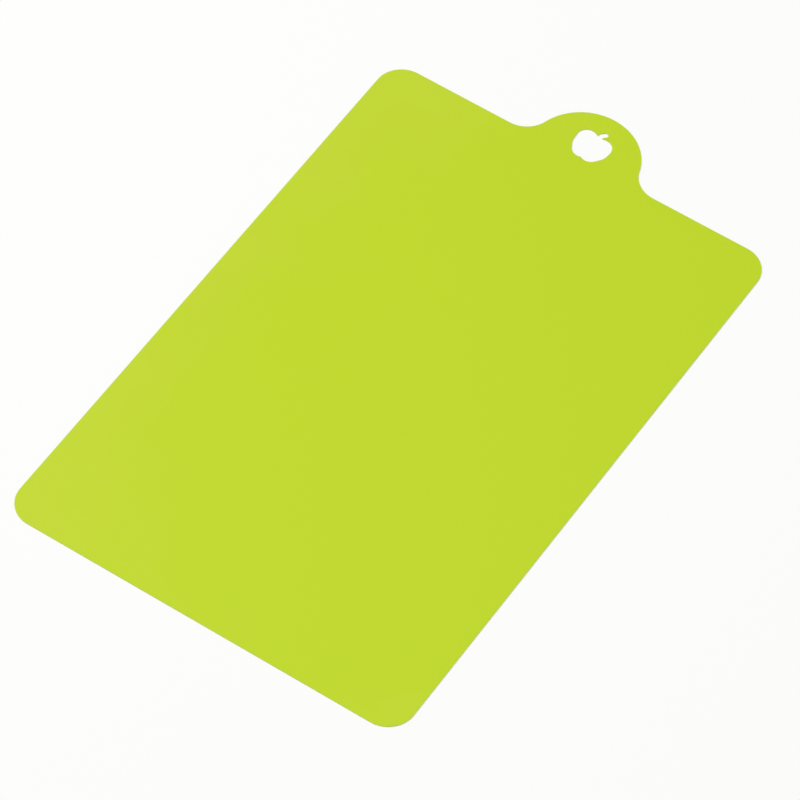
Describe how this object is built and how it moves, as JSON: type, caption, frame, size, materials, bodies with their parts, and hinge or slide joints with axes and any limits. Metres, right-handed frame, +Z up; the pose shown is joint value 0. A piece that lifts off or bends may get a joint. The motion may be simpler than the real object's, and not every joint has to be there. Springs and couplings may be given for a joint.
{
  "type": "flexible cutting mat",
  "caption": "Thin flexible plastic cutting mat with rounded corners and a round hang tab, whose sides curl up into a chute for pouring off chopped food.",
  "frame": {"origin": "on the underside, halfway across the width and halfway along the overall length, the hang tab included", "axes": "+Y along the length towards the hang tab, +X across the width to the right when the tab is at the top, +Z up out of the working face"},
  "size_m": [0.23, 0.377, 0.0008],
  "materials": {
    "green_plastic": "matte"
  },
  "bodies": {
    "centre_strip": {"centre_strip": "green_plastic"},
    "left_strip_01": {"left_strip_01": "green_plastic"},
    "left_strip_02": {"left_strip_02": "green_plastic"},
    "left_strip_03": {"left_strip_03": "green_plastic"},
    "left_strip_04": {"left_strip_04": "green_plastic"},
    "left_strip_05": {"left_strip_05": "green_plastic"},
    "left_strip_06": {"left_strip_06": "green_plastic"},
    "left_strip_07": {"left_strip_07": "green_plastic"},
    "left_strip_08": {"left_strip_08": "green_plastic"},
    "left_strip_09": {"left_strip_09": "green_plastic"},
    "left_strip_10": {"left_strip_10": "green_plastic"},
    "right_strip_01": {"right_strip_01": "green_plastic"},
    "right_strip_02": {"right_strip_02": "green_plastic"},
    "right_strip_03": {"right_strip_03": "green_plastic"},
    "right_strip_04": {"right_strip_04": "green_plastic"},
    "right_strip_05": {"right_strip_05": "green_plastic"},
    "right_strip_06": {"right_strip_06": "green_plastic"},
    "right_strip_07": {"right_strip_07": "green_plastic"},
    "right_strip_08": {"right_strip_08": "green_plastic"},
    "right_strip_09": {"right_strip_09": "green_plastic"},
    "right_strip_10": {"right_strip_10": "green_plastic"}
  },
  "joints": [
    {"name": "left_curl", "type": "hinge", "parent": "centre_strip", "child": "left_strip_01", "pos_m": [-0.015, 0, 0.0008], "axis": [0, 1, 0], "range_deg": [0, 9], "stiffness_Nm_per_rad": 1.9},
    {"name": "left_curl_02", "type": "hinge", "parent": "left_strip_01", "child": "left_strip_02", "pos_m": [-0.025, 0, 0.0008], "axis": [0, 1, 0], "range_deg": [0, 9], "stiffness_Nm_per_rad": 1.9},
    {"name": "left_curl_03", "type": "hinge", "parent": "left_strip_02", "child": "left_strip_03", "pos_m": [-0.035, 0, 0.0008], "axis": [0, 1, 0], "range_deg": [0, 9], "stiffness_Nm_per_rad": 1.9},
    {"name": "left_curl_04", "type": "hinge", "parent": "left_strip_03", "child": "left_strip_04", "pos_m": [-0.045, 0, 0.0008], "axis": [0, 1, 0], "range_deg": [0, 9], "stiffness_Nm_per_rad": 1.9},
    {"name": "left_curl_05", "type": "hinge", "parent": "left_strip_04", "child": "left_strip_05", "pos_m": [-0.055, 0, 0.0008], "axis": [0, 1, 0], "range_deg": [0, 9], "stiffness_Nm_per_rad": 1.9},
    {"name": "left_curl_06", "type": "hinge", "parent": "left_strip_05", "child": "left_strip_06", "pos_m": [-0.065, 0, 0.0008], "axis": [0, 1, 0], "range_deg": [0, 9], "stiffness_Nm_per_rad": 1.9},
    {"name": "left_curl_07", "type": "hinge", "parent": "left_strip_06", "child": "left_strip_07", "pos_m": [-0.075, 0, 0.0008], "axis": [0, 1, 0], "range_deg": [0, 9], "stiffness_Nm_per_rad": 1.9},
    {"name": "left_curl_08", "type": "hinge", "parent": "left_strip_07", "child": "left_strip_08", "pos_m": [-0.085, 0, 0.0008], "axis": [0, 1, 0], "range_deg": [0, 9], "stiffness_Nm_per_rad": 1.9},
    {"name": "left_curl_09", "type": "hinge", "parent": "left_strip_08", "child": "left_strip_09", "pos_m": [-0.095, 0, 0.0008], "axis": [0, 1, 0], "range_deg": [0, 9], "stiffness_Nm_per_rad": 1.9},
    {"name": "left_curl_10", "type": "hinge", "parent": "left_strip_09", "child": "left_strip_10", "pos_m": [-0.105, 0, 0.0008], "axis": [0, 1, 0], "range_deg": [0, 9], "stiffness_Nm_per_rad": 1.9},
    {"name": "right_curl", "type": "hinge", "parent": "centre_strip", "child": "right_strip_01", "pos_m": [0.015, 0, 0.0008], "axis": [0, -1, 0], "range_deg": [0, 9], "stiffness_Nm_per_rad": 1.9},
    {"name": "right_curl_02", "type": "hinge", "parent": "right_strip_01", "child": "right_strip_02", "pos_m": [0.025, 0, 0.0008], "axis": [0, -1, 0], "range_deg": [0, 9], "stiffness_Nm_per_rad": 1.9},
    {"name": "right_curl_03", "type": "hinge", "parent": "right_strip_02", "child": "right_strip_03", "pos_m": [0.035, 0, 0.0008], "axis": [0, -1, 0], "range_deg": [0, 9], "stiffness_Nm_per_rad": 1.9},
    {"name": "right_curl_04", "type": "hinge", "parent": "right_strip_03", "child": "right_strip_04", "pos_m": [0.045, 0, 0.0008], "axis": [0, -1, 0], "range_deg": [0, 9], "stiffness_Nm_per_rad": 1.9},
    {"name": "right_curl_05", "type": "hinge", "parent": "right_strip_04", "child": "right_strip_05", "pos_m": [0.055, 0, 0.0008], "axis": [0, -1, 0], "range_deg": [0, 9], "stiffness_Nm_per_rad": 1.9},
    {"name": "right_curl_06", "type": "hinge", "parent": "right_strip_05", "child": "right_strip_06", "pos_m": [0.065, 0, 0.0008], "axis": [0, -1, 0], "range_deg": [0, 9], "stiffness_Nm_per_rad": 1.9},
    {"name": "right_curl_07", "type": "hinge", "parent": "right_strip_06", "child": "right_strip_07", "pos_m": [0.075, 0, 0.0008], "axis": [0, -1, 0], "range_deg": [0, 9], "stiffness_Nm_per_rad": 1.9},
    {"name": "right_curl_08", "type": "hinge", "parent": "right_strip_07", "child": "right_strip_08", "pos_m": [0.085, 0, 0.0008], "axis": [0, -1, 0], "range_deg": [0, 9], "stiffness_Nm_per_rad": 1.9},
    {"name": "right_curl_09", "type": "hinge", "parent": "right_strip_08", "child": "right_strip_09", "pos_m": [0.095, 0, 0.0008], "axis": [0, -1, 0], "range_deg": [0, 9], "stiffness_Nm_per_rad": 1.9},
    {"name": "right_curl_10", "type": "hinge", "parent": "right_strip_09", "child": "right_strip_10", "pos_m": [0.105, 0, 0.0008], "axis": [0, -1, 0], "range_deg": [0, 9], "stiffness_Nm_per_rad": 1.9}
  ],
  "couplings": [
    {"joint": "left_curl_02", "follows": "left_curl", "ratio": 1},
    {"joint": "left_curl_03", "follows": "left_curl", "ratio": 1},
    {"joint": "left_curl_04", "follows": "left_curl", "ratio": 1},
    {"joint": "left_curl_05", "follows": "left_curl", "ratio": 1},
    {"joint": "left_curl_06", "follows": "left_curl", "ratio": 1},
    {"joint": "left_curl_07", "follows": "left_curl", "ratio": 1},
    {"joint": "left_curl_08", "follows": "left_curl", "ratio": 1},
    {"joint": "left_curl_09", "follows": "left_curl", "ratio": 1},
    {"joint": "left_curl_10", "follows": "left_curl", "ratio": 1},
    {"joint": "right_curl_02", "follows": "right_curl", "ratio": 1},
    {"joint": "right_curl_03", "follows": "right_curl", "ratio": 1},
    {"joint": "right_curl_04", "follows": "right_curl", "ratio": 1},
    {"joint": "right_curl_05", "follows": "right_curl", "ratio": 1},
    {"joint": "right_curl_06", "follows": "right_curl", "ratio": 1},
    {"joint": "right_curl_07", "follows": "right_curl", "ratio": 1},
    {"joint": "right_curl_08", "follows": "right_curl", "ratio": 1},
    {"joint": "right_curl_09", "follows": "right_curl", "ratio": 1},
    {"joint": "right_curl_10", "follows": "right_curl", "ratio": 1}
  ]
}
